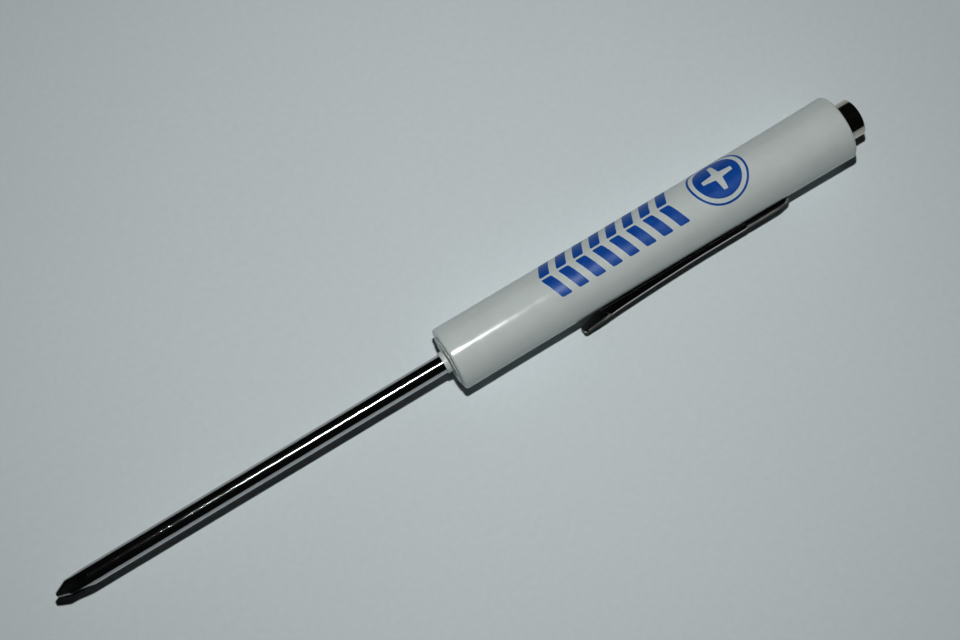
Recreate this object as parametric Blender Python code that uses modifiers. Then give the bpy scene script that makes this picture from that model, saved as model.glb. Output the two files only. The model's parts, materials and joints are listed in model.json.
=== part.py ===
"""Pocket screwdriver: a cross-point blade in a plastic barrel, with a spring clip and a magnet end.

The tool lies on a surface as it would on a bench: its axis is +X, from the blade's point to the
magnet, +Z is up, and the clip leans towards the surface on the -Y side. The origin is the middle
of the tool's footprint. Every piece hangs on the empty tool_axis, whose own +Z runs along the
barrel from its front face, so places along the tool are measured from that face.
"""

import math

import bmesh
import bpy

MM = 0.001

# Blade: 1/8 in round bar with four flutes, and a tail with pinched wings
BLADE_REACH = 69.0 * MM
SHANK_RADIUS = 3.175 / 2 * MM
POINT_RADIUS = 0.42 * MM
POINT_HALF_ANGLE = math.radians(28)
FLUTE_CORE = 0.24 * MM
FLUTE_STRAIGHT = 2.6 * MM
FLUTE_LENGTH = 5.9 * MM
FLUTE_HALF_ANGLE = math.radians(45)
FLUTE_ROLL = math.radians(-2)
TAIL_DEPTH = 24.0 * MM
TAIL_CHAMFER = 0.3 * MM
WING_START = 12.0 * MM
WING_LENGTH = 6.0 * MM
WING_SPAN = 5.0 * MM
WING_THICKNESS = 0.9 * MM

# Barrel: a moulded tube, narrowest near the middle and widest at the magnet end
BARREL_LENGTH = 72.6 * MM
BARREL_WAIST = 5.28 * MM
FRONT_SWELL = 0.07 * MM
REAR_SWELL = 0.27 * MM
BORE_RADIUS = 4.15 * MM
FRONT_FILLET = 0.45 * MM
REAR_FILLET = 0.40 * MM
SEAM_CHAMFER = 0.08 * MM

# Plugs that close the barrel's ends
PLUG_GAP = 0.10 * MM
BLADE_GAP = 0.06 * MM
FRONT_PLUG_LENGTH = 26.0 * MM
FRONT_PLUG_PROUD = 0.20 * MM
BOSS_RADIUS = 1.82 * MM
BOSS_LENGTH = 1.10 * MM
BOSS_CHAMFER = 0.06 * MM
REAR_PLUG_LENGTH = 17.0 * MM

# Magnet: 1/4 in rod, 3/8 in long
MAGNET_RADIUS = 6.35 / 2 * MM
MAGNET_LENGTH = 9.5 * MM
MAGNET_OUT = 3.4 * MM
MAGNET_FILLET = 0.30 * MM
MAGNET_GAP = 0.06 * MM

# Clip: one strip of spring steel. Radii are from the barrel's axis to the outer face, or to the
# middle of the sheet for the neck, the tab and the foot.
CLIP_ANGLE = math.radians(31.5)
SHEET = 0.40 * MM
ARM_STANDOFF = 6.05 * MM
RISE_START = 44.0 * MM
TONGUE_END = 20.9 * MM
RISE_HEIGHT = 0.93 * MM
RISE_POWER = 1.6
FLARE_START = 26.5 * MM
FLARE_SLOPE = 0.105
TONGUE_ROUND = 0.8 * MM
TONGUE_HALF_WIDTH = 1.95 * MM
TONGUE_END_HALF_WIDTH = 1.30 * MM
FLANGE_FRONT = 25.7 * MM
FLANGE_SLANT = 1.4 * MM
FLANGE_REAR = 51.6 * MM
FLANGE_EDGE = 5.13 * MM
FLANGE_MIDDLE = 2.2 * MM
FOLD_RADIUS = 0.35 * MM
NECK_HALF_WIDTH = 2.0 * MM
TAB_HALF_WIDTH = 1.6 * MM
TAB_PLACE = 59.9 * MM
ROOT_BEND = 0.8 * MM
FOOT_RADIUS = 3.3 * MM
FOOT_BEND = 0.4 * MM
FOOT_LENGTH = 2.4 * MM
HINGE_RADIUS = 5.3 * MM
SLOT_CLEARANCE = 0.22 * MM
FOOT_CLEARANCE = 0.5 * MM

ROUND_STEPS = 48
FLUTE_STEPS = 16
FLUTE_SWEEP = math.radians(60)
ARC_STEPS = 5
MERGE = 1e-6
SMOOTH_ANGLE = math.radians(35)


def barrel_radius(z):
    """The barrel's outer radius at z from its front face."""
    t = z / BARREL_LENGTH
    return BARREL_WAIST + FRONT_SWELL * (1 - t) ** 2 + REAR_SWELL * t**4


AXIS_HEIGHT = barrel_radius(BARREL_LENGTH - REAR_FILLET)
OVERALL_LENGTH = BLADE_REACH + BARREL_LENGTH + MAGNET_OUT
FRONT_FACE_X = BLADE_REACH - OVERALL_LENGTH / 2


# Blender helpers


def clear_scene():
    for obj in list(bpy.data.objects):
        bpy.data.objects.remove(obj, do_unlink=True)


def new_collection(name):
    collection = bpy.data.collections.new(name)
    bpy.context.scene.collection.children.link(collection)
    return collection


def new_material(name, color, metallic, roughness):
    material = bpy.data.materials.new(name)
    material.use_nodes = True
    shader = material.node_tree.nodes["Principled BSDF"]
    shader.inputs["Base Color"].default_value = (*color, 1.0)
    shader.inputs["Metallic"].default_value = metallic
    shader.inputs["Roughness"].default_value = roughness
    return material


def new_empty(name, parent=None, location=(0, 0, 0), rotation=(0, 0, 0)):
    empty = bpy.data.objects.new(name, None)
    empty.empty_display_size = 5 * MM
    empty.parent = parent
    empty.location = location
    empty.rotation_euler = rotation
    parts.objects.link(empty)
    return empty


def new_part(name, mesh, parent, material):
    obj = bpy.data.objects.new(name, mesh)
    obj.parent = parent
    mesh.materials.append(material)
    parts.objects.link(obj)
    return obj


def new_cutter(name, mesh, parent):
    obj = bpy.data.objects.new(name, mesh)
    obj.parent = parent
    obj.hide_render = True
    obj.display_type = "WIRE"
    cutters.objects.link(obj)
    return obj


def profile_mesh(name, profile, closed):
    """The (radius, z) points that a Screw turns, from high z to low z on the outer side."""
    mesh = bpy.data.meshes.new(name)
    edges = [(i, i + 1) for i in range(len(profile) - 1)]
    if closed:
        edges.append((len(profile) - 1, 0))
    mesh.from_pydata([(r, 0, z) for r, z in profile], edges, [])
    return mesh


def turn(obj, steps=ROUND_STEPS):
    screw = obj.modifiers.new("turn", "SCREW")
    screw.steps = screw.render_steps = steps
    screw.use_merge_vertices = True
    screw.merge_threshold = MERGE


def boolean(obj, other, operation):
    modifier = obj.modifiers.new(f"{operation.lower()} {other.name}", "BOOLEAN")
    modifier.operation = operation
    modifier.object = other


def box_mesh(name, low, high):
    """A box between two corners."""
    bm = bmesh.new()
    bmesh.ops.create_cube(bm, size=1)
    for vert in bm.verts:
        vert.co = [l + (h - l) * (c + 0.5) for l, h, c in zip(low, high, vert.co)]
    mesh = bpy.data.meshes.new(name)
    bm.to_mesh(mesh)
    bm.free()
    return mesh


def settle(obj):
    """Makes the modifiers' result the object's own mesh, and shades its round faces smooth."""
    graph = bpy.context.evaluated_depsgraph_get()
    mesh = bpy.data.meshes.new_from_object(obj.evaluated_get(graph))
    mesh.name = obj.name
    obj.modifiers.clear()
    obj.data = mesh
    mesh.shade_smooth()
    mesh.set_sharp_from_angle(angle=SMOOTH_ANGLE)


def arc(centre, radius, start, end, steps=ARC_STEPS):
    """Points round a centre, between two angles in degrees."""
    angles = [math.radians(start + (end - start) * i / steps) for i in range(steps + 1)]
    return [(centre[0] + radius * math.cos(a), centre[1] + radius * math.sin(a)) for a in angles]


# The pieces


def make_barrel(axis, hinge, material):
    rear = BARREL_LENGTH - REAR_FILLET
    rear_rim = barrel_radius(rear)
    front_rim = barrel_radius(FRONT_FILLET)
    profile = [(BORE_RADIUS + SEAM_CHAMFER, BARREL_LENGTH)]
    profile += arc((rear_rim - REAR_FILLET, rear), REAR_FILLET, 90, 0)
    stations = 9
    for i in range(1, stations):
        z = rear + (FRONT_FILLET - rear) * i / stations
        profile.append((barrel_radius(z), z))
    profile += arc((front_rim - FRONT_FILLET, FRONT_FILLET), FRONT_FILLET, 0, -90)
    profile.append((BORE_RADIUS + SEAM_CHAMFER, 0))
    profile.append((BORE_RADIUS, SEAM_CHAMFER))
    profile.append((BORE_RADIUS, BARREL_LENGTH - SEAM_CHAMFER))
    barrel = new_part("barrel", profile_mesh("barrel", profile, closed=True), axis, material)
    turn(barrel)

    half_length = SHEET / 2 + SLOT_CLEARANCE
    half_width = TAB_HALF_WIDTH + SLOT_CLEARANCE
    low = (BORE_RADIUS - 1.5 * MM - HINGE_RADIUS, -half_width, -half_length)
    high = (1.5 * MM, half_width, half_length)
    slot = new_cutter("clip_slot", box_mesh("clip_slot", low, high), hinge)
    boolean(barrel, slot, "DIFFERENCE")
    return barrel


def make_front_plug(axis, material):
    radius = BORE_RADIUS - PLUG_GAP
    hole = SHANK_RADIUS + BLADE_GAP
    hole_end = TAIL_DEPTH + BLADE_GAP
    profile = [
        (0, FRONT_PLUG_LENGTH),
        (radius, FRONT_PLUG_LENGTH),
        (radius, SEAM_CHAMFER - FRONT_PLUG_PROUD),
        (radius - SEAM_CHAMFER, -FRONT_PLUG_PROUD),
        (BOSS_RADIUS, -FRONT_PLUG_PROUD),
        (BOSS_RADIUS, BOSS_CHAMFER - BOSS_LENGTH),
        (BOSS_RADIUS - BOSS_CHAMFER, -BOSS_LENGTH),
        (hole, -BOSS_LENGTH),
        (hole, hole_end),
        (0, hole_end),
    ]
    plug = new_part("front_plug", profile_mesh("front_plug", profile, closed=False), axis, material)
    turn(plug)
    socket = new_cutter("wing_socket", wing_mesh("wing_socket", BLADE_GAP), axis)
    boolean(plug, socket, "DIFFERENCE")
    return plug


def wing_mesh(name, grow):
    """The flat that the tail's two wings share, grown on every side."""
    low = (-WING_THICKNESS / 2 - grow, -WING_SPAN / 2 - grow, WING_START - grow)
    high = (WING_THICKNESS / 2 + grow, WING_SPAN / 2 + grow, WING_START + WING_LENGTH + grow)
    return box_mesh(name, low, high)


def make_blade(axis, material):
    point = -BLADE_REACH
    cone = (SHANK_RADIUS - POINT_RADIUS) / math.tan(POINT_HALF_ANGLE)
    profile = [
        (0, TAIL_DEPTH),
        (SHANK_RADIUS - TAIL_CHAMFER, TAIL_DEPTH),
        (SHANK_RADIUS, TAIL_DEPTH - TAIL_CHAMFER),
        (SHANK_RADIUS, point + cone),
        (POINT_RADIUS, point),
        (0, point),
    ]
    blade = new_part("blade", profile_mesh("blade", profile, closed=False), axis, material)
    turn(blade)
    wings = new_cutter("wings", wing_mesh("wings", 0), axis)
    boolean(blade, wings, "UNION")
    for i in range(4):
        flute = new_cutter(f"flute_{i + 1}", flute_mesh(f"flute_{i + 1}"), axis)
        flute.rotation_euler.z = FLUTE_ROLL + i * math.pi / 2
        boolean(blade, flute, "DIFFERENCE")
    return blade


def flute_mesh(name):
    """A V-shaped cutter that runs straight up the tip, then rises out of the bar along an arc."""
    rise = SHANK_RADIUS - FLUTE_CORE
    arc_radius = ((FLUTE_LENGTH - FLUTE_STRAIGHT) ** 2 + rise**2) / (2 * rise)
    depth = 2 * SHANK_RADIUS
    half_width = depth * math.tan(FLUTE_HALF_ANGLE)
    turn_start = FLUTE_STRAIGHT - BLADE_REACH
    stations = [(0, turn_start - 2 * FLUTE_STRAIGHT)]
    stations += [(FLUTE_SWEEP * i / FLUTE_STEPS, turn_start) for i in range(FLUTE_STEPS + 1)]
    bm = bmesh.new()
    rings = []
    for angle, start in stations:
        ring = []
        for inset, across in ((0, 0), (depth, half_width), (depth, -half_width)):
            r = arc_radius - inset
            out = FLUTE_CORE + arc_radius - r * math.cos(angle)
            ring.append(bm.verts.new((out, across, start + r * math.sin(angle))))
        rings.append(ring)
    for first, second in zip(rings, rings[1:]):
        for i in range(3):
            k = (i + 1) % 3
            bm.faces.new((first[i], first[k], second[k], second[i]))
    bm.faces.new(rings[0])
    bm.faces.new(rings[-1])
    bmesh.ops.recalc_face_normals(bm, faces=bm.faces)
    mesh = bpy.data.meshes.new(name)
    bm.to_mesh(mesh)
    bm.free()
    return mesh


def make_rear_plug(axis, hinge, material):
    radius = BORE_RADIUS - PLUG_GAP
    seat = MAGNET_RADIUS + MAGNET_GAP
    nose = BARREL_LENGTH - REAR_PLUG_LENGTH
    seat_end = BARREL_LENGTH + MAGNET_OUT - MAGNET_LENGTH - MAGNET_GAP
    profile = [
        (0, seat_end),
        (seat, seat_end),
        (seat, BARREL_LENGTH),
        (radius - SEAM_CHAMFER, BARREL_LENGTH),
        (radius, BARREL_LENGTH - SEAM_CHAMFER),
        (radius, nose),
        (0, nose),
    ]
    plug = new_part("rear_plug", profile_mesh("rear_plug", profile, closed=False), axis, material)
    turn(plug)
    floor = FOOT_RADIUS - SHEET / 2 - FOOT_CLEARANCE - HINGE_RADIUS
    half_width = TAB_HALF_WIDTH + FOOT_CLEARANCE
    low = (floor, -half_width, nose - TAB_PLACE - 1 * MM)
    high = (0, half_width, SHEET / 2 + SLOT_CLEARANCE + PLUG_GAP)
    notch = new_cutter("foot_notch", box_mesh("foot_notch", low, high), hinge)
    boolean(plug, notch, "DIFFERENCE")
    return plug


def make_magnet(axis, material):
    top = BARREL_LENGTH + MAGNET_OUT
    bottom = top - MAGNET_LENGTH
    corner = MAGNET_RADIUS - MAGNET_FILLET
    profile = [(0, top)]
    profile += arc((corner, top - MAGNET_FILLET), MAGNET_FILLET, 90, 0)
    profile += arc((corner, bottom + MAGNET_FILLET), MAGNET_FILLET, 0, -90)
    profile.append((0, bottom))
    magnet = new_part("magnet", profile_mesh("magnet", profile, closed=False), axis, material)
    turn(magnet)
    return magnet


def arm_radius(z):
    """The middle of the clip's sheet: level along the neck, then rising towards the tongue."""
    rise = max(0.0, (RISE_START - z) / (RISE_START - TONGUE_END))
    flare = max(0.0, FLARE_START - z)
    return ARM_STANDOFF + RISE_HEIGHT * rise**RISE_POWER + FLARE_SLOPE * flare


def clip_stations():
    """Along the strip, from the tongue's end to the foot's: (z, radius, half width, has flanges)."""
    stations = []
    corner = (TONGUE_END + TONGUE_ROUND, TONGUE_END_HALF_WIDTH - TONGUE_ROUND)
    for z, half_width in arc(corner, TONGUE_ROUND, 180, 90, 4):
        stations.append((z, half_width, False))
    flat = FLANGE_MIDDLE - FOLD_RADIUS
    stations.append((FLANGE_FRONT - 0.9 * MM, TONGUE_HALF_WIDTH, False))
    spans = 10
    for i in range(spans + 1):
        stations.append((FLANGE_FRONT + (FLANGE_REAR - FLANGE_FRONT) * i / spans, flat, True))
    stations.append((FLANGE_REAR + 0.9 * MM, NECK_HALF_WIDTH, False))
    bend = TAB_PLACE - ROOT_BEND
    stations.append((bend - 1.2 * MM, NECK_HALF_WIDTH, False))
    strip = [(z, arm_radius(z), half_width, flanged) for z, half_width, flanged in stations]
    for z, r in arc((bend, ARM_STANDOFF - ROOT_BEND), ROOT_BEND, 90, 0):
        strip.append((z, r, TAB_HALF_WIDTH, False))
    corner = (TAB_PLACE - FOOT_BEND, FOOT_RADIUS + FOOT_BEND)
    for z, r in arc(corner, FOOT_BEND, 0, -90, 3):
        strip.append((z, r, TAB_HALF_WIDTH, False))
    strip.append((TAB_PLACE - FOOT_LENGTH, FOOT_RADIUS, TAB_HALF_WIDTH, False))
    return strip


def clip_section(z, r, half_width, flanged):
    """Half of the strip's section, from its middle outwards, as (across, radius, z)."""
    section = [(0, r, z), (half_width, r, z)]
    if flanged:
        for across, up in arc((half_width, r - FOLD_RADIUS), FOLD_RADIUS, 90, 0, 3)[1:]:
            section.append((across, up, z))
        slant = FLANGE_SLANT * max(0.0, 1 - (z - FLANGE_FRONT) / (3 * FLANGE_SLANT))
        section.append((FLANGE_MIDDLE, FLANGE_EDGE, z - slant))
    return section


def without_flanges(row):
    middle = len(row) // 2
    return row[middle - 1 : middle + 2]


def make_clip(hinge, material):
    """One flat pattern of steel: a strip with a flange along each side, folded and then thickened."""
    bm = bmesh.new()
    rows = []
    for z, r, half_width, flanged in clip_stations():
        half = clip_section(z, r, half_width, flanged)
        other_half = [(-across, up, along) for across, up, along in half[:0:-1]]
        row = []
        for across, up, along in other_half + half:
            row.append(bm.verts.new((up - HINGE_RADIUS, across, along - TAB_PLACE)))
        rows.append((row, flanged))
    for (first, first_flanged), (second, second_flanged) in zip(rows, rows[1:]):
        if not (first_flanged and second_flanged):
            first = without_flanges(first)
            second = without_flanges(second)
        for i in range(len(first) - 1):
            bm.faces.new((first[i], first[i + 1], second[i + 1], second[i]))
    mesh = bpy.data.meshes.new("pocket_clip")
    bm.to_mesh(mesh)
    bm.free()
    clip = new_part("pocket_clip", mesh, hinge, material)
    sheet = clip.modifiers.new("sheet", "SOLIDIFY")
    sheet.thickness = SHEET
    sheet.offset = 0
    sheet.use_even_offset = True
    return clip


def centre_footprint(axis, pieces):
    """Slides the tool along Y, so that the origin is the middle of its footprint."""
    bpy.context.view_layer.update()
    reach = [(obj.matrix_world @ vert.co).y for obj in pieces for vert in obj.data.vertices]
    axis.location.y -= (min(reach) + max(reach)) / 2


def main():
    white = new_material("white_plastic", (0.78, 0.80, 0.80), 0.0, 0.25)
    core = new_material("white_core_plastic", (0.72, 0.73, 0.72), 0.0, 0.4)
    chrome = new_material("chromed_steel", (0.55, 0.56, 0.57), 1.0, 0.12)
    spring = new_material("plated_spring_steel", (0.50, 0.50, 0.50), 1.0, 0.18)
    nickel = new_material("plated_magnet", (0.60, 0.58, 0.54), 1.0, 0.10)

    axis = new_empty("tool_axis", None, (FRONT_FACE_X, 0, AXIS_HEIGHT), (0, math.pi / 2, 0))
    out = (math.sin(CLIP_ANGLE), -math.cos(CLIP_ANGLE))
    place = (HINGE_RADIUS * out[0], HINGE_RADIUS * out[1], TAB_PLACE)
    hinge = new_empty("clip_hinge", axis, place, (0, 0, CLIP_ANGLE - math.pi / 2))

    made = [
        make_barrel(axis, hinge, white),
        make_front_plug(axis, core),
        make_rear_plug(axis, hinge, core),
        make_blade(axis, chrome),
        make_magnet(axis, nickel),
        make_clip(hinge, spring),
    ]
    for obj in made:
        settle(obj)
    centre_footprint(axis, made)


clear_scene()
parts = new_collection("pocket_screwdriver")
cutters = new_collection("cutters")
main()
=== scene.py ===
import json
import math

import bmesh
import bpy
from mathutils import Matrix, Vector


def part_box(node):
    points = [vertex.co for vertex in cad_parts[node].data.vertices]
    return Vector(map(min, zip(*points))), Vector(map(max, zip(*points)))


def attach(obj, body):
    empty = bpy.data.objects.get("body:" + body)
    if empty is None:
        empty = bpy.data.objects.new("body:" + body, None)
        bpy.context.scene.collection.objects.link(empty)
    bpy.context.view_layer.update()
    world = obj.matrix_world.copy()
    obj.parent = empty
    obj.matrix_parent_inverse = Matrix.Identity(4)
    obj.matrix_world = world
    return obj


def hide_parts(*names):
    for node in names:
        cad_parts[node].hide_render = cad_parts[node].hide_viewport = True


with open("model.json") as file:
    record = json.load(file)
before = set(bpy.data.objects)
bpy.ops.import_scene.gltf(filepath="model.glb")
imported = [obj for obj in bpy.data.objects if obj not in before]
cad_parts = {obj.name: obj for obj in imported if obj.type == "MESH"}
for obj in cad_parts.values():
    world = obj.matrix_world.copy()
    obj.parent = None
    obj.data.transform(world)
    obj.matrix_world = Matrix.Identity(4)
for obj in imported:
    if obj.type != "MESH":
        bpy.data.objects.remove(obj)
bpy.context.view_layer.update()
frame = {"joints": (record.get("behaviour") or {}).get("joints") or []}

MM = 0.001

# Places and sizes that come from the frame
barrel_low, barrel_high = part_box("barrel")
blade_low, blade_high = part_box("blade")
magnet_low, magnet_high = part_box("magnet")
front_plug_low, front_plug_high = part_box("front_plug")
rear_plug_low, rear_plug_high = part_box("rear_plug")
hinge_place = Vector(frame["joints"][0]["pos_m"])

FRONT = Vector((barrel_low.x, (barrel_low.y + barrel_high.y) / 2, (barrel_low.z + barrel_high.z) / 2))
BARREL_LENGTH = barrel_high.x - barrel_low.x
REAR_RADIUS = (barrel_high.z - barrel_low.z) / 2
BLADE_REACH = barrel_low.x - blade_low.x
TAIL_DEPTH = blade_high.x - barrel_low.x
SHANK_RADIUS = (blade_high.z - blade_low.z) / 2
WING_SPAN = blade_high.y - blade_low.y
MAGNET_RADIUS = (magnet_high.z - magnet_low.z) / 2
MAGNET_TOP = magnet_high.x - barrel_low.x
MAGNET_BOTTOM = magnet_low.x - barrel_low.x
PLUG_RADIUS = (front_plug_high.z - front_plug_low.z) / 2
FRONT_PLUG_LENGTH = front_plug_high.x - barrel_low.x
BOSS_LENGTH = barrel_low.x - front_plug_low.x
REAR_PLUG_NOSE = rear_plug_low.x - barrel_low.x
TAB_PLACE = hinge_place.x - barrel_low.x

# Barrel
BARREL_WAIST = 5.28 * MM
FRONT_SWELL = 0.07 * MM
FRONT_FILLET = 0.45 * MM
REAR_FILLET = 0.40 * MM
SEAM_GAP = 0.10 * MM
SEAM_CHAMFER = 0.08 * MM
SLOT_CLEARANCE = 0.22 * MM
SLOT_ROUND = 0.06 * MM
RIM_MARGIN = 0.02 * MM
RIM_ABOVE_PLUG = 0.6 * MM
RIM_ANGLE = 1.0
BARREL_STATIONS = 36
CUT_PAST = 1.5 * MM

# Front plug
FRONT_PLUG_PROUD = 0.20 * MM
PLUG_ROUND = 0.10 * MM
BOSS_RADIUS = 1.82 * MM
BOSS_ROUND = 0.08 * MM
BOSS_ROOT = 0.10 * MM

# Blade
POINT_RADIUS = 0.42 * MM
POINT_ROUND = 0.08 * MM
POINT_HALF_ANGLE = math.radians(28)
FLUTE_CORE = 0.24 * MM
FLUTE_STRAIGHT = 2.6 * MM
FLUTE_LENGTH = 5.9 * MM
FLUTE_HALF_ANGLE = math.radians(45)
FLUTE_SWEEP = math.radians(60)
FLUTE_ROLL = math.radians(-2)
FLUTE_STEPS = 64
FINE_PAST_FLUTES = 1.0 * MM
FINE_RINGS = 24
CONE_RINGS = 7
TAIL_CHAMFER = 0.3 * MM
WING_START = 12.0 * MM
WING_LENGTH = 6.0 * MM
WING_THICKNESS = 0.9 * MM
BLADE_GAP = 0.06 * MM

# Magnet
MAGNET_FILLET = 0.30 * MM
MAGNET_GAP = 0.06 * MM

# Clip: radii are from the tool's axis to the middle of the sheet, and places from the front face
SHEET = 0.40 * MM
SHEET_ROUND = 0.07 * MM
ARM_STANDOFF = 6.05 * MM
RISE_START = 44.0 * MM
RISE_HEIGHT = 0.93 * MM
RISE_POWER = 1.6
TONGUE_END = 20.9 * MM
FLARE_START = 26.5 * MM
FLARE_SLOPE = 0.105
TONGUE_ROUND = 0.8 * MM
TONGUE_HALF_WIDTH = 1.95 * MM
TONGUE_END_HALF_WIDTH = 1.30 * MM
FLANGE_FRONT = 25.7 * MM
FLANGE_SLANT = 1.4 * MM
FLANGE_ROOT = 0.8 * MM
FLANGE_SPANS = 48
FLANGE_REAR = 51.6 * MM
FLANGE_EDGE = 5.13 * MM
FLANGE_MIDDLE = 2.2 * MM
FOLD_RADIUS = 0.35 * MM
NECK_HALF_WIDTH = 2.0 * MM
NECK_LEAD = 0.9 * MM
NECK_TAPER = 1.2 * MM
TAB_HALF_WIDTH = 1.6 * MM
ROOT_BEND = 0.8 * MM
FOOT_RADIUS = 3.3 * MM
FOOT_BEND = 0.4 * MM
FOOT_LENGTH = 2.4 * MM
FOOT_CLEARANCE = 0.5 * MM

# Printing on the barrel: angles are round the barrel from the top towards the clip's side
INK_HEIGHT = 0.012 * MM
INK_DEPTH = 0.02 * MM
INK_GRID = 0.25 * MM
ROW_HEIGHT = 4.1 * MM
ROW_START = 18.2 * MM
ROW_LENGTH = 24.6 * MM
ROW_BARS = 8
BAR_SHARE = 0.58
BAR_SLANT = 1.5 * MM
BAR_ROUND = 0.3 * MM
NEAR_ROW_ANGLE = math.radians(-4)
FAR_ROW_ANGLE = math.radians(-53)
BADGE_PLACE = 50.4 * MM
BADGE_ANGLE = math.radians(-26)
BADGE_RADIUS = 5.0 * MM
BADGE_LINE = 0.35 * MM
BADGE_DISC = 3.9 * MM
CROSS_REACH = 2.7 * MM
CROSS_HALF_WIDTH = 0.62 * MM
CROSS_TIP = 0.36 * MM
CROSS_ROUND = 0.12 * MM

ROUND_STEPS = 192
SMOOTH_ANGLE = math.radians(32)
MERGE = 1e-7


def barrel_radius(z):
    """The barrel's outer radius at z from its front face."""
    t = z / BARREL_LENGTH
    rear_swell = REAR_RADIUS - BARREL_WAIST
    return BARREL_WAIST + FRONT_SWELL * (1 - t) ** 2 + rear_swell * t**4


# Two working spaces, both with their +Z along the tool from the barrel's front face: tool space has
# its +X down, and clip space has its +X out through the middle of the clip.


def space(out):
    along = Vector((1, 0, 0))
    turn = Matrix((out, along.cross(out), along)).transposed()
    return Matrix.Translation(FRONT) @ turn.to_4x4()


TOOL = space(Vector((0, 0, -1)))
CLIP = space(Vector((0, hinge_place.y - FRONT.y, hinge_place.z - FRONT.z)).normalized())


# Mesh helpers


def arc(centre, radius, start, end, steps=8):
    """Points round a centre, between two angles in degrees."""
    angles = [math.radians(start + (end - start) * i / steps) for i in range(steps + 1)]
    return [(centre[0] + radius * math.cos(a), centre[1] + radius * math.sin(a)) for a in angles]


def turned(profile, closed=False, steps=ROUND_STEPS):
    """The (radius, z) points of a profile, turned round the tool's axis."""
    bm = bmesh.new()
    rings = []
    for r, z in profile:
        count = steps if r > MERGE else 1
        ring = []
        for i in range(count):
            a = 2 * math.pi * i / steps
            ring.append(bm.verts.new((r * math.cos(a), r * math.sin(a), z)))
        rings.append(ring)
    followers = rings[1:] + rings[:1] if closed else rings[1:]
    for ring, follower in zip(rings, followers):
        for i in range(steps):
            corners = [ring[i % len(ring)], ring[(i + 1) % len(ring)]]
            corners += [follower[(i + 1) % len(follower)], follower[i % len(follower)]]
            corners = list(dict.fromkeys(corners))
            if len(corners) > 2:
                bm.faces.new(corners)
    bmesh.ops.recalc_face_normals(bm, faces=bm.faces)
    return bm


def box_solid(low, high):
    bm = bmesh.new()
    bmesh.ops.create_cube(bm, size=1)
    for vert in bm.verts:
        vert.co = [l + (h - l) * (c + 0.5) for l, h, c in zip(low, high, vert.co)]
    return bm


def to_mesh(bm, name):
    mesh = bpy.data.meshes.new(name)
    bm.to_mesh(mesh)
    bm.free()
    return mesh


def new_object(name, mesh):
    obj = bpy.data.objects.new(name, mesh)
    bpy.context.scene.collection.objects.link(obj)
    return obj


def apply_modifiers(obj):
    graph = bpy.context.evaluated_depsgraph_get()
    mesh = bpy.data.meshes.new_from_object(obj.evaluated_get(graph))
    mesh.name = obj.name
    obj.modifiers.clear()
    obj.data = mesh


def combine(obj, bm, operation, matrix=None):
    """Cuts a solid from obj, or joins it on, and removes it."""
    mesh = to_mesh(bm, "tool")
    if matrix:
        mesh.transform(matrix)
    other = new_object("tool", mesh)
    modifier = obj.modifiers.new(operation.lower(), "BOOLEAN")
    modifier.operation = operation
    modifier.object = other
    apply_modifiers(obj)
    bpy.data.objects.remove(other)


def settle(obj, material, body, matrix, nodes=()):
    """Puts a finished piece in the frame: its place, finish, body and the CAD node it stands for."""
    obj.data.transform(matrix)
    obj.data.materials.clear()
    obj.data.materials.append(material)
    obj.data.shade_smooth()
    obj.data.set_sharp_from_angle(angle=SMOOTH_ANGLE)
    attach(obj, body)
    if nodes:
        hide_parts(*nodes)


# Material helpers


def add(tree, kind, inputs=None, **settings):
    """A node with its settings, and with its inputs set to values or linked to other nodes' outputs."""
    node = tree.nodes.new(kind)
    for key, value in settings.items():
        setattr(node, key, value)
    for key, value in (inputs or {}).items():
        if isinstance(value, bpy.types.NodeSocket):
            tree.links.new(value, node.inputs[key])
        else:
            node.inputs[key].default_value = value
    return node


def new_material(name):
    material = bpy.data.materials.new(name)
    material.use_nodes = True
    tree = material.node_tree
    return material, tree, tree.nodes["Principled BSDF"]


def tool_space(tree, stretch=(1, 1, 1)):
    """Millimetres along the tool, across and up from its axis, each scaled by stretch."""
    coords = add(tree, "ShaderNodeTexCoord").outputs["Object"]
    centred = add(tree, "ShaderNodeVectorMath", {0: coords, 1: FRONT}, operation="SUBTRACT")
    scale = Vector(stretch) / MM
    scaled = add(tree, "ShaderNodeVectorMath", {0: centred.outputs[0], 1: scale}, operation="MULTIPLY")
    return scaled.outputs[0]


def noise(tree, vector, scale, detail=4.0, roughness=0.55):
    values = {"Vector": vector, "Scale": scale, "Detail": detail, "Roughness": roughness}
    return add(tree, "ShaderNodeTexNoise", values).outputs["Fac"]


def spread(tree, value, low, high, to_low, to_high):
    values = {"Value": value, "From Min": low, "From Max": high, "To Min": to_low, "To Max": to_high}
    return add(tree, "ShaderNodeMapRange", values).outputs["Result"]


def vary(tree, field, low, high):
    """A range of values, over most of what a noise gives."""
    return spread(tree, field, 0.3, 0.7, low, high)


def math_node(tree, operation, a, b=0.0):
    return add(tree, "ShaderNodeMath", {0: a, 1: b}, operation=operation).outputs[0]


def blend_colors(tree, factor, a, b):
    mix = add(tree, "ShaderNodeMix", data_type="RGBA")
    for key, value in ((0, factor), (6, a), (7, b)):
        if isinstance(value, bpy.types.NodeSocket):
            tree.links.new(value, mix.inputs[key])
        else:
            mix.inputs[key].default_value = value if key == 0 else (*value, 1.0)
    return mix.outputs[2]


def bump(tree, height, distance, strength=1.0, under=None):
    values = {"Height": height, "Distance": distance, "Strength": strength}
    if under is not None:
        values["Normal"] = under
    return add(tree, "ShaderNodeBump", values).outputs["Normal"]


def set_inputs(tree, shader, values):
    for key, value in values.items():
        if isinstance(value, bpy.types.NodeSocket):
            tree.links.new(value, shader.inputs[key])
        else:
            shader.inputs[key].default_value = value


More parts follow.
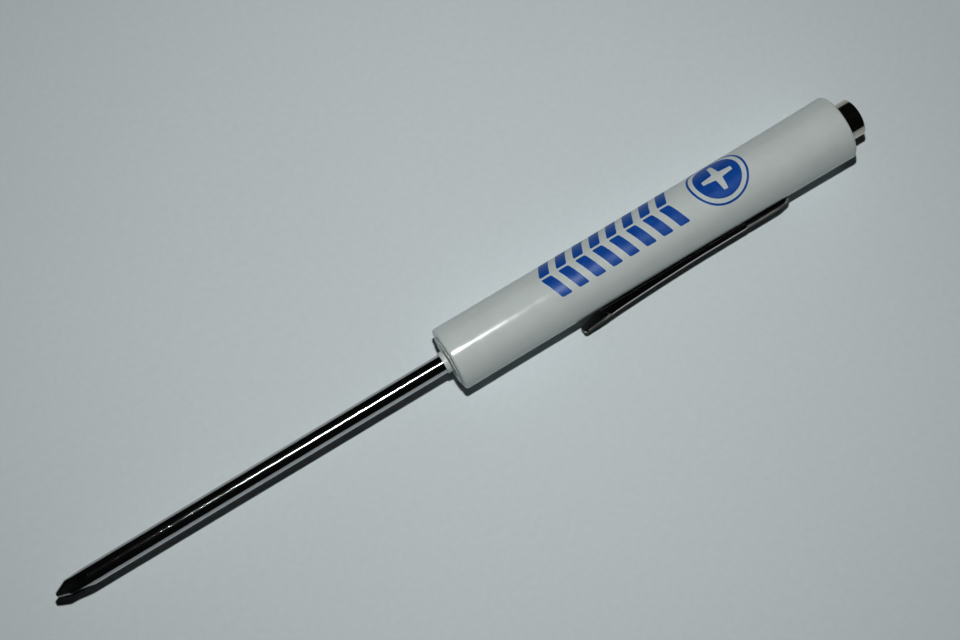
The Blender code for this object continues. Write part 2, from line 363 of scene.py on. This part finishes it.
def scratches(tree, vector, scale, width, stretch_angle):
    """Thin lines: where a warped noise crosses its middle value."""
    turned_vector = add(
        tree,
        "ShaderNodeMapping",
        {"Vector": vector, "Rotation": (stretch_angle, stretch_angle, 0), "Scale": (0.08, 1, 1)},
    ).outputs[0]
    field = noise(tree, turned_vector, scale, 1.0)
    distance = math_node(tree, "ABSOLUTE", math_node(tree, "SUBTRACT", field, 0.5))
    return spread(tree, distance, 0.0, width, 1.0, 0.0)


# Materials

GRIT = (0.30, 0.29, 0.27)
SHEARED = (0.62, 0.63, 0.62)
# Fold colour: worn plating, lightened further as a painted glint along the clip's bends.
FOLD_GLINT_AND_WEAR = (0.80, 0.80, 0.78)
DEEP_BLUE = (0.008, 0.090, 0.38)
CLEAR_BLUE = (0.011, 0.115, 0.45)
PINHOLE = (0.55, 0.60, 0.68)


def white_plastic(name, color, roughness):
    """Moulded plastic: a faint orange peel, a mottled tone, fine scuffs and a few specks of grit."""
    material, tree, shader = new_material(name)
    place = tool_space(tree)
    mottle = noise(tree, place, 0.35, 3.0)
    tone = vary(tree, mottle, 0.0, 1.0)
    darker = [c * 0.955 for c in color]
    base = blend_colors(tree, tone, darker, color)
    specks = noise(tree, place, 5.5, 1.0, 0.3)
    speck_mask = spread(tree, specks, 0.80, 0.83, 0.0, 0.35)
    base = blend_colors(tree, speck_mask, base, GRIT)
    scuff = scratches(tree, place, 2.4, 0.006, 0.5)
    patches = spread(tree, noise(tree, place, 0.22, 2.0), 0.52, 0.68, 0.0, 1.0)
    worn = math_node(tree, "MULTIPLY", scuff, patches)
    rough = vary(tree, mottle, roughness - 0.03, roughness + 0.05)
    rough = math_node(tree, "ADD", rough, math_node(tree, "MULTIPLY", worn, 0.15))
    peel = noise(tree, place, 1.6, 2.0)
    normal = bump(tree, peel, 0.004 * MM)
    normal = bump(tree, noise(tree, place, 7.0, 2.0), 0.0015 * MM, under=normal)
    normal = bump(tree, math_node(tree, "MULTIPLY", worn, -1.0), 0.004 * MM, under=normal)
    set_inputs(tree, shader, {
        "Base Color": base,
        "Roughness": rough,
        "Normal": normal,
        "IOR": 1.5,
        "Subsurface Weight": 0.08,
        "Subsurface Radius": (1.0, 0.95, 0.9),
        "Subsurface Scale": 0.4 * MM,
    })
    return material


def strip_masks(tree):
    """Two masks on the clip: its strip's sheared edges, and the folds along its flanges, which are worn
    and also lightened as a painted glint.
    """
    across = CLIP.to_3x3().col[1]
    coords = add(tree, "ShaderNodeTexCoord")
    place = {0: coords.outputs["Object"], 1: FRONT}
    from_axis = add(tree, "ShaderNodeVectorMath", place, operation="SUBTRACT")
    sides = []
    for vector in (coords.outputs["Normal"], from_axis.outputs[0]):
        side = add(tree, "ShaderNodeVectorMath", {0: vector, 1: across}, operation="DOT_PRODUCT")
        sides.append(math_node(tree, "ABSOLUTE", side.outputs["Value"]))
    facing, reach = sides
    in_width = math_node(tree, "LESS_THAN", reach, TONGUE_HALF_WIDTH + SHEET / 4)
    sheared = math_node(tree, "MULTIPLY", spread(tree, facing, 0.92, 1.0, 0.0, 1.0), in_width)
    curved = math_node(tree, "MULTIPLY", spread(tree, facing, 0.35, 0.60, 0.0, 1.0),
                       spread(tree, facing, 0.95, 0.995, 1.0, 0.0))
    past_width = math_node(tree, "GREATER_THAN", reach, FLANGE_MIDDLE)
    return sheared, math_node(tree, "MULTIPLY", curved, past_width)


def plated_metal(name, color, roughness, haze_share, grain, depth, pit_depth, strip_wear_and_glint=False):
    """Bright plating over worked metal: grain is the stretch of its drawing lines, with small pits."""
    material, tree, shader = new_material(name)
    lines = noise(tree, tool_space(tree, grain), 1.0, 3.0, 0.6)
    place = tool_space(tree)
    pits = noise(tree, place, 3.2, 3.0, 0.65)
    haze = noise(tree, place, 0.5, 2.0)
    tone = spread(tree, haze, 0.35, 0.65, 0.0, 1.0)
    base = blend_colors(tree, tone, [c * 0.9 for c in color], color)
    rough = vary(tree, haze, roughness * (1 - haze_share), roughness * (1 + haze_share))
    rough = math_node(tree, "ADD", rough, vary(tree, lines, -0.02, 0.03))
    normal = bump(tree, lines, depth)
    normal = bump(tree, pits, pit_depth, under=normal)
    if strip_wear_and_glint:
        sheared, fold_glint_and_wear = strip_masks(tree)
        # The sheared edges are lighter bare steel; the folds' lighter colour is partly wear and partly
        # a painted glint along the bends.
        for mask, mask_color, duller in ((sheared, SHEARED, 0.45), (fold_glint_and_wear, FOLD_GLINT_AND_WEAR, 0.30)):
            base = blend_colors(tree, mask, base, mask_color)
            rough = math_node(tree, "ADD", rough, math_node(tree, "MULTIPLY", mask, duller))
        dents = math_node(tree, "MULTIPLY", noise(tree, place, 4.5, 2.0), fold_glint_and_wear)
        normal = bump(tree, dents, 0.05 * MM, under=normal)
    set_inputs(tree, shader, {
        "Base Color": base,
        "Metallic": 1.0,
        "Roughness": rough,
        "Normal": normal,
    })
    return material


def blue_ink():
    """Pad-printed ink: slightly uneven, with pinholes that show the white under it."""
    material, tree, shader = new_material("blue_ink")
    place = tool_space(tree)
    cloud = noise(tree, place, 0.9, 3.0)
    base = blend_colors(tree, vary(tree, cloud, 0.0, 1.0), DEEP_BLUE, CLEAR_BLUE)
    holes = spread(tree, noise(tree, place, 6.0, 2.0, 0.5), 0.73, 0.78, 0.0, 0.6)
    base = blend_colors(tree, holes, base, PINHOLE)
    normal = bump(tree, noise(tree, place, 2.5, 2.0), 0.004 * MM)
    set_inputs(tree, shader, {
        "Base Color": base,
        "Roughness": vary(tree, cloud, 0.28, 0.40),
        "Normal": normal,
    })
    return material


# Pieces


def make_barrel(material):
    rear = BARREL_LENGTH - REAR_FILLET
    front_rim = barrel_radius(FRONT_FILLET)
    bore = PLUG_RADIUS + SEAM_GAP
    profile = [(bore + SEAM_CHAMFER, BARREL_LENGTH)]
    profile += arc((REAR_RADIUS - REAR_FILLET, rear), REAR_FILLET, 90, 0)
    for i in range(1, BARREL_STATIONS):
        z = rear + (FRONT_FILLET - rear) * i / BARREL_STATIONS
        profile.append((barrel_radius(z), z))
    profile += arc((front_rim - FRONT_FILLET, FRONT_FILLET), FRONT_FILLET, 0, -90)
    profile.append((bore + SEAM_CHAMFER, 0))
    profile.append((bore, SEAM_CHAMFER))
    profile.append((bore, BARREL_LENGTH - SEAM_CHAMFER))
    barrel = new_object("barrel_shell", to_mesh(turned(profile, closed=True), "barrel_shell"))

    half_length = SHEET / 2 + SLOT_CLEARANCE
    half_width = TAB_HALF_WIDTH + SLOT_CLEARANCE
    low = (bore - CUT_PAST, -half_width, TAB_PLACE - half_length)
    high = (barrel_radius(TAB_PLACE) + CUT_PAST, half_width, TAB_PLACE + half_length)
    to_tool = TOOL.inverted() @ CLIP
    combine(barrel, box_solid(low, high), "DIFFERENCE", to_tool)
    round_slot(barrel, to_tool, low, high)
    settle(barrel, material, "handle", TOOL, ["barrel"])


def round_slot(barrel, to_tool, low, high):
    """Rounds the slot's outer rim: the sharp edges inside the slot's box, well outside the plug."""
    to_clip = to_tool.inverted()
    bm = bmesh.new()
    bm.from_mesh(barrel.data)
    rim = []
    for edge in bm.edges:
        ends = [to_clip @ vert.co for vert in edge.verts]
        inside = all(
            low[i] - RIM_MARGIN < end[i] < high[i] + RIM_MARGIN for end in ends for i in (1, 2)
        )
        outside = all(
            end.to_2d().length > PLUG_RADIUS + RIM_ABOVE_PLUG and end.x > 0 for end in ends
        )
        sharp = len(edge.link_faces) == 2 and edge.calc_face_angle() > RIM_ANGLE
        if inside and outside and sharp:
            rim.append(edge)
    bmesh.ops.bevel(bm, geom=rim, offset=SLOT_ROUND, segments=3, profile=0.5, affect="EDGES")
    bm.to_mesh(barrel.data)
    bm.free()


def wing_solid(grow):
    """The flat that the tail's two wings share, grown on every side."""
    low = (-WING_THICKNESS / 2 - grow, -WING_SPAN / 2 - grow, WING_START - grow)
    high = (WING_THICKNESS / 2 + grow, WING_SPAN / 2 + grow, WING_START + WING_LENGTH + grow)
    return box_solid(low, high)


def make_front_plug(material):
    hole = SHANK_RADIUS + BLADE_GAP
    hole_end = TAIL_DEPTH + BLADE_GAP
    profile = [(0, FRONT_PLUG_LENGTH), (PLUG_RADIUS, FRONT_PLUG_LENGTH)]
    profile += arc((PLUG_RADIUS - PLUG_ROUND, PLUG_ROUND - FRONT_PLUG_PROUD), PLUG_ROUND, 0, -90, 5)
    profile += arc((BOSS_RADIUS + BOSS_ROOT, -FRONT_PLUG_PROUD - BOSS_ROOT), BOSS_ROOT, 90, 180, 4)
    profile += arc((BOSS_RADIUS - BOSS_ROUND, BOSS_ROUND - BOSS_LENGTH), BOSS_ROUND, 0, -90, 5)
    profile += [(hole, -BOSS_LENGTH), (hole, hole_end), (0, hole_end)]
    plug = new_object("front_core", to_mesh(turned(profile), "front_core"))
    combine(plug, wing_solid(BLADE_GAP), "DIFFERENCE")
    settle(plug, material, "handle", TOOL, ["front_plug"])


def make_rear_plug(material):
    seat = MAGNET_RADIUS + MAGNET_GAP
    seat_end = MAGNET_BOTTOM - MAGNET_GAP
    profile = [
        (0, seat_end),
        (seat, seat_end),
        (seat, BARREL_LENGTH - SEAM_CHAMFER),
        (seat + SEAM_CHAMFER, BARREL_LENGTH),
        (PLUG_RADIUS - SEAM_CHAMFER, BARREL_LENGTH),
        (PLUG_RADIUS, BARREL_LENGTH - SEAM_CHAMFER),
        (PLUG_RADIUS, REAR_PLUG_NOSE),
        (0, REAR_PLUG_NOSE),
    ]
    plug = new_object("rear_core", to_mesh(turned(profile), "rear_core"))
    floor = FOOT_RADIUS - SHEET / 2 - FOOT_CLEARANCE
    half_width = TAB_HALF_WIDTH + FOOT_CLEARANCE
    low = (floor, -half_width, REAR_PLUG_NOSE - CUT_PAST)
    high = (2 * PLUG_RADIUS, half_width, TAB_PLACE + SHEET / 2 + SLOT_CLEARANCE + SEAM_GAP)
    combine(plug, box_solid(low, high), "DIFFERENCE", TOOL.inverted() @ CLIP)
    settle(plug, material, "handle", TOOL, ["rear_plug"])


def make_blade(material):
    point = -BLADE_REACH
    cone = (SHANK_RADIUS - POINT_RADIUS) / math.tan(POINT_HALF_ANGLE)
    profile = [(0, TAIL_DEPTH), (SHANK_RADIUS - TAIL_CHAMFER, TAIL_DEPTH)]
    profile.append((SHANK_RADIUS, TAIL_DEPTH - TAIL_CHAMFER))
    shoulder = point + cone
    fine_length = FLUTE_LENGTH - cone + FINE_PAST_FLUTES
    profile.append((SHANK_RADIUS, 0))
    for i in range(FINE_RINGS + 1):
        profile.append((SHANK_RADIUS, shoulder + fine_length * (1 - i / FINE_RINGS)))
    for i in range(1, CONE_RINGS):
        t = i / CONE_RINGS
        profile.append((SHANK_RADIUS + (POINT_RADIUS - SHANK_RADIUS) * t, shoulder - cone * t))
    profile += arc((POINT_RADIUS - POINT_ROUND, point + POINT_ROUND), POINT_ROUND, -20, -90, 4)
    profile.append((0, point))
    blade = new_object("blade_steel", to_mesh(turned(profile, steps=96), "blade_steel"))
    combine(blade, wing_solid(0), "UNION")
    for i in range(4):
        roll = Matrix.Rotation(FLUTE_ROLL + i * math.pi / 2, 4, "Z")
        combine(blade, flute_solid(), "DIFFERENCE", roll)
    settle(blade, material, "handle", TOOL, ["blade"])


def flute_solid():
    """A V-shaped cutter that runs straight up the tip, then rises out of the bar along an arc."""
    rise = SHANK_RADIUS - FLUTE_CORE
    arc_radius = ((FLUTE_LENGTH - FLUTE_STRAIGHT) ** 2 + rise**2) / (2 * rise)
    depth = 2 * SHANK_RADIUS
    half_width = depth * math.tan(FLUTE_HALF_ANGLE)
    turn_start = FLUTE_STRAIGHT - BLADE_REACH
    stations = [(0, turn_start - 2 * FLUTE_STRAIGHT)]
    stations += [(FLUTE_SWEEP * i / FLUTE_STEPS, turn_start) for i in range(FLUTE_STEPS + 1)]
    bm = bmesh.new()
    rings = []
    for angle, start in stations:
        ring = []
        for inset, across in ((0, 0), (depth, half_width), (depth, -half_width)):
            r = arc_radius - inset
            out = FLUTE_CORE + arc_radius - r * math.cos(angle)
            ring.append(bm.verts.new((out, across, start + r * math.sin(angle))))
        rings.append(ring)
    for first, second in zip(rings, rings[1:]):
        for i in range(3):
            k = (i + 1) % 3
            bm.faces.new((first[i], first[k], second[k], second[i]))
    bm.faces.new(rings[0])
    bm.faces.new(rings[-1])
    bmesh.ops.recalc_face_normals(bm, faces=bm.faces)
    return bm


def make_magnet(material):
    corner = MAGNET_RADIUS - MAGNET_FILLET
    profile = [(0, MAGNET_TOP)]
    profile += arc((corner, MAGNET_TOP - MAGNET_FILLET), MAGNET_FILLET, 90, 0)
    profile += arc((corner, MAGNET_BOTTOM + MAGNET_FILLET), MAGNET_FILLET, 0, -90)
    profile.append((0, MAGNET_BOTTOM))
    magnet = new_object("magnet_rod", to_mesh(turned(profile), "magnet_rod"))
    settle(magnet, material, "handle", TOOL, ["magnet"])


def arm_radius(z):
    """The middle of the clip's sheet: level along the neck, then rising towards the tongue."""
    rise = max(0.0, (RISE_START - z) / (RISE_START - TONGUE_END))
    flare = max(0.0, FLARE_START - z)
    return ARM_STANDOFF + RISE_HEIGHT * rise**RISE_POWER + FLARE_SLOPE * flare


def clip_stations():
    """Along the strip, from the tongue's end to the foot's: (z, radius, half width, has flanges)."""
    stations = []
    corner = (TONGUE_END + TONGUE_ROUND, TONGUE_END_HALF_WIDTH - TONGUE_ROUND)
    for z, half_width in arc(corner, TONGUE_ROUND, 180, 90):
        stations.append((z, half_width, False))
    flange_root = FLANGE_FRONT - FLANGE_ROOT
    for i in range(1, 6):
        z = corner[0] + (flange_root - corner[0]) * i / 5
        half_width = TONGUE_END_HALF_WIDTH + (TONGUE_HALF_WIDTH - TONGUE_END_HALF_WIDTH) * i / 5
        stations.append((z, half_width, False))
    flat = FLANGE_MIDDLE - FOLD_RADIUS
    for i in range(FLANGE_SPANS + 1):
        z = FLANGE_FRONT + (FLANGE_REAR - FLANGE_FRONT) * i / FLANGE_SPANS
        stations.append((z, flat, True))
    bend = TAB_PLACE - ROOT_BEND
    neck_start = FLANGE_REAR + NECK_LEAD
    neck_end = bend - NECK_TAPER
    for i in range(6):
        stations.append((neck_start + (neck_end - neck_start) * i / 5, NECK_HALF_WIDTH, False))
    strip = [(z, arm_radius(z), half_width, flanged) for z, half_width, flanged in stations]
    for z, r in arc((bend, ARM_STANDOFF - ROOT_BEND), ROOT_BEND, 90, 0, 10):
        strip.append((z, r, TAB_HALF_WIDTH, False))
    corner = (TAB_PLACE - FOOT_BEND, FOOT_RADIUS + FOOT_BEND)
    for z, r in arc(corner, FOOT_BEND, 0, -90, 6):
        strip.append((z, r, TAB_HALF_WIDTH, False))
    strip.append((TAB_PLACE - FOOT_LENGTH, FOOT_RADIUS, TAB_HALF_WIDTH, False))
    return strip


def clip_section(z, r, half_width, flanged):
    """Half of the strip's section, from its middle outwards, as (radius, across, along)."""
    section = [(r, 0, z), (r, half_width * 0.5, z), (r, half_width, z)]
    if flanged:
        for across, up in arc((half_width, r - FOLD_RADIUS), FOLD_RADIUS, 90, 0, 6)[1:]:
            section.append((up, across, z))
        slant = FLANGE_SLANT * max(0.0, 1 - (z - FLANGE_FRONT) / (3 * FLANGE_SLANT))
        section.append((FLANGE_EDGE, FLANGE_MIDDLE, z - slant))
    return section


def without_flanges(row):
    middle = len(row) // 2
    return row[middle - 2 : middle + 3]


def make_clip(material):
    """One flat pattern of steel: a strip with a flange along each side, folded and then thickened."""
    bm = bmesh.new()
    rows = []
    for station in clip_stations():
        half = clip_section(*station)
        other_half = [(up, -across, along) for up, across, along in half[:0:-1]]
        rows.append(([bm.verts.new(co) for co in other_half + half], station[3]))
    for (first, first_flanged), (second, second_flanged) in zip(rows, rows[1:]):
        if not (first_flanged and second_flanged):
            first = without_flanges(first)
            second = without_flanges(second)
        for i in range(len(first) - 1):
            bm.faces.new((first[i], first[i + 1], second[i + 1], second[i]))
    clip = new_object("clip_spring", to_mesh(bm, "clip_spring"))
    sheet = clip.modifiers.new("sheet", "SOLIDIFY")
    sheet.thickness = SHEET
    sheet.offset = 0
    sheet.use_even_offset = True
    edges = clip.modifiers.new("edges", "BEVEL")
    edges.width = SHEET_ROUND
    edges.segments = 3
    edges.limit_method = "ANGLE"
    edges.angle_limit = math.radians(50)
    apply_modifiers(clip)
    settle(clip, material, "clip", CLIP, ["pocket_clip"])


# Printing


def outline_solid(outlines):
    """A thin flat solid between closed outlines, cut into strips to bend round the barrel."""
    bm = bmesh.new()
    edges = []
    for outline in outlines:
        verts = [bm.verts.new((x, y, 0)) for x, y in outline]
        for i, vert in enumerate(verts):
            edges.append(bm.edges.new((vert, verts[(i + 1) % len(verts)])))
    bmesh.ops.triangle_fill(bm, use_beauty=True, use_dissolve=False, edges=edges)
    reach = max(abs(vert.co.y) for vert in bm.verts)
    for i in range(-int(reach / INK_GRID), int(reach / INK_GRID) + 1):
        geom = bm.verts[:] + bm.edges[:] + bm.faces[:]
        place = (0, i * INK_GRID, 0)
        bmesh.ops.bisect_plane(bm, geom=geom, dist=MERGE, plane_co=place, plane_no=(0, 1, 0))
    faces = bm.faces[:]
    top = bmesh.ops.extrude_face_region(bm, geom=faces)["geom"]
    for item in top:
        if isinstance(item, bmesh.types.BMVert):
            item.co.z += INK_HEIGHT + INK_DEPTH
    bmesh.ops.recalc_face_normals(bm, faces=bm.faces)
    return bm


def make_ink(name, outlines, place, angle, material):
    """Wraps flat outlines round the barrel, centred at a place along it and an angle round it."""
    bm = outline_solid(outlines)
    for vert in bm.verts:
        along = place + vert.co.x
        around = angle + vert.co.y / barrel_radius(place)
        r = barrel_radius(along) - INK_DEPTH + vert.co.z
        vert.co = (-r * math.cos(around), -r * math.sin(around), along)
    bmesh.ops.recalc_face_normals(bm, faces=bm.faces)
    ink = new_object(name, to_mesh(bm, name))
    settle(ink, material, "handle", TOOL)


def rounded(corners, radius, steps=5):
    """A polygon with each corner replaced by a small curve."""
    outline = []
    for i, corner in enumerate(corners):
        here = Vector(corner)
        before = (Vector(corners[i - 1]) - here).normalized() * radius
        after = (Vector(corners[(i + 1) % len(corners)]) - here).normalized() * radius
        for k in range(steps + 1):
            t = k / steps
            outline.append(here + before * (1 - t) ** 2 + after * t**2)
    return outline


def make_printing(material):
    pitch = ROW_LENGTH / ROW_BARS
    half = pitch * BAR_SHARE / 2
    for row, angle, lean in (("near", NEAR_ROW_ANGLE, 1), ("far", FAR_ROW_ANGLE, -1)):
        for i in range(ROW_BARS):
            shift = BAR_SLANT / 2 * lean
            top = ROW_HEIGHT / 2
            corners = [(-half - shift, -top), (half - shift, -top)]
            corners += [(half + shift, top), (-half + shift, top)]
            place = ROW_START + pitch * (i + 0.5)
            make_ink(f"print_{row}_{i + 1}", [rounded(corners, BAR_ROUND)], place, angle, material)
    circle = arc((0, 0), 1, 0, 360, 120)[:-1]
    ring = [[(x * r, y * r) for x, y in circle] for r in (BADGE_RADIUS, BADGE_RADIUS - BADGE_LINE)]
    make_ink("print_ring", ring, BADGE_PLACE, BADGE_ANGLE, material)
    disc = [(x * BADGE_DISC, y * BADGE_DISC) for x, y in circle]
    w, tip, reach = CROSS_HALF_WIDTH, CROSS_TIP, CROSS_REACH
    cross = []
    for k in range(4):
        turn = Matrix.Rotation(math.pi / 2 * k, 2)
        cross += [turn @ Vector(co) for co in ((reach, -tip), (reach, tip), (w, w))]
    outlines = [disc, rounded(cross, CROSS_ROUND, 3)]
    make_ink("print_cross", outlines, BADGE_PLACE, BADGE_ANGLE, material)


# Stage

LENS = 60
CAMERA_TILT = math.radians(12)
CAMERA_HEADING = math.radians(31.46)
CAMERA_DISTANCE = 249.66 * MM
LOOK_AT = FRONT + Vector((7.45 * MM, 2.885 * MM, 0))
FLASH_ABOVE_LENS = 60 * MM
FLASH_SIZE = 11 * MM
FLASH_POWER = 0.40
SKY_SIZE = 1.2
SKY_HEIGHT = 0.8
SKY_POWER = 0.010
PALE = (0.74, 0.80, 0.82)
DIM_ROOM = (0.0052, 0.0054, 0.0054)
FLOOR_SIZE = 6.0
FLOOR_DROP = 0.02 * MM
LIT_SHARE = 0.75
FAR_GLOW = 0.56
PICTURE_EXPOSURE = 0.236
PICTURE_GAMMA = 0.8


def make_camera():
    data = bpy.data.cameras.new("camera")
    data.lens = LENS
    data.clip_start = 0.01
    data.clip_end = 20
    camera = bpy.data.objects.new("camera", data)
    bpy.context.scene.collection.objects.link(camera)
    camera.rotation_euler = (CAMERA_TILT, 0, -CAMERA_HEADING)
    turn = camera.rotation_euler.to_matrix()
    camera.location = LOOK_AT + turn @ Vector((0, 0, CAMERA_DISTANCE))
    bpy.context.scene.camera = camera
    return camera, turn


def make_light(name, size, power, place, target, color):
    data = bpy.data.lights.new(name, "AREA")
    data.shape = "DISK"
    data.size = size
    data.energy = power
    data.color = color
    light = bpy.data.objects.new(name, data)
    bpy.context.scene.collection.objects.link(light)
    light.location = place
    light.rotation_euler = (place - target).to_track_quat("Z", "Y").to_euler()
    return light


def make_floor():
    """A pale floor. The flash lights it near the tool, and a glow keeps it pale farther away.

    The flash fades as 1 / (1 + ratio**2)**2, and the glow starts where that falls to LIT_SHARE.
    """
    bm = bmesh.new()
    bmesh.ops.create_grid(bm, x_segments=8, y_segments=8, size=FLOOR_SIZE / 2)
    floor = new_object("floor", to_mesh(bm, "floor"))
    floor.location.z = -FLOOR_DROP
    material, tree, shader = new_material("pale_floor")
    coords = add(tree, "ShaderNodeTexCoord").outputs["Object"]
    grain = noise(tree, coords, 900, 3.0)
    cloud = noise(tree, coords, 12, 2.0)
    tone = math_node(tree, "ADD", vary(tree, grain, 0.985, 1.015), vary(tree, cloud, -0.01, 0.01))
    base = add(tree, "ShaderNodeVectorMath", {0: PALE, 3: tone}, operation="SCALE").outputs[0]
    away = add(tree, "ShaderNodeVectorMath", {0: coords}, operation="LENGTH").outputs["Value"]
    ratio = math_node(tree, "DIVIDE", away, CAMERA_DISTANCE)
    slope = math_node(tree, "ADD", math_node(tree, "POWER", ratio, 2.0), 1.0)
    spot = math_node(tree, "POWER", slope, -2.0)
    seen = add(tree, "ShaderNodeLightPath").outputs["Is Camera Ray"]
    glow = math_node(tree, "MULTIPLY", spread(tree, spot, 0.0, LIT_SHARE, FAR_GLOW, 0.0), seen)
    set_inputs(tree, shader, {
        "Base Color": base,
        "Roughness": 0.75,
        "Specular IOR Level": 0.2,
        "Emission Color": base,
        "Emission Strength": glow,
    })
    floor.data.materials.append(material)


def make_world():
    """Pale where the camera sees it, and dark to everything else, as a dim room is round a bench."""
    world = bpy.data.worlds.new("room")
    world.use_nodes = True
    bpy.context.scene.world = world
    tree = world.node_tree
    tree.nodes.clear()
    path = add(tree, "ShaderNodeLightPath")
    pale = add(tree, "ShaderNodeBackground", {"Color": (*PALE, 1.0), "Strength": FAR_GLOW})
    dark = add(tree, "ShaderNodeBackground", {"Color": (*DIM_ROOM, 1.0), "Strength": 1.0})
    mixed = {0: path.outputs["Is Camera Ray"], 1: dark.outputs[0], 2: pale.outputs[0]}
    mix = add(tree, "ShaderNodeMixShader", mixed)
    add(tree, "ShaderNodeOutputWorld", {"Surface": mix.outputs[0]})


def make_stage():
    camera, turn = make_camera()
    flash = camera.location + turn @ Vector((0, FLASH_ABOVE_LENS, 0))
    make_light("flash", FLASH_SIZE, FLASH_POWER, flash, LOOK_AT, (1.0, 1.0, 0.99))
    overhead = LOOK_AT + Vector((0, 0, SKY_HEIGHT))
    sky = make_light("overhead", SKY_SIZE, SKY_POWER, overhead, LOOK_AT, (0.92, 0.96, 1.0))
    sky.visible_glossy = False
    make_floor()
    make_world()
    settings = bpy.context.scene.view_settings
    settings.view_transform = "Standard"
    settings.exposure = PICTURE_EXPOSURE
    settings.gamma = PICTURE_GAMMA


white = white_plastic("white_plastic", (0.675, 0.727, 0.717), 0.15)
core = white_plastic("white_core_plastic", (0.64, 0.69, 0.68), 0.32)
chrome = plated_metal(
    "chromed_steel", (0.53, 0.54, 0.55), roughness=0.10, haze_share=0.06,
    grain=(5.0, 0.7, 0.7), depth=0.031 * MM, pit_depth=0.010 * MM,
)
nickel = plated_metal(
    "plated_magnet", (0.62, 0.59, 0.53), roughness=0.12, haze_share=0.22,
    grain=(5.0, 1.0, 1.0), depth=0.003 * MM, pit_depth=0.003 * MM,
)
# The spring's folds are worn, and lightened as a painted glint.
spring = plated_metal(
    "plated_spring_steel", (0.42, 0.42, 0.41), roughness=0.13, haze_share=0.22,
    grain=(1.2, 5.0, 5.0), depth=0.006 * MM, pit_depth=0.014 * MM, strip_wear_and_glint=True,
)

make_barrel(white)
make_front_plug(core)
make_rear_plug(core)
make_blade(chrome)
make_magnet(nickel)
make_clip(spring)
make_printing(blue_ink())
make_stage()
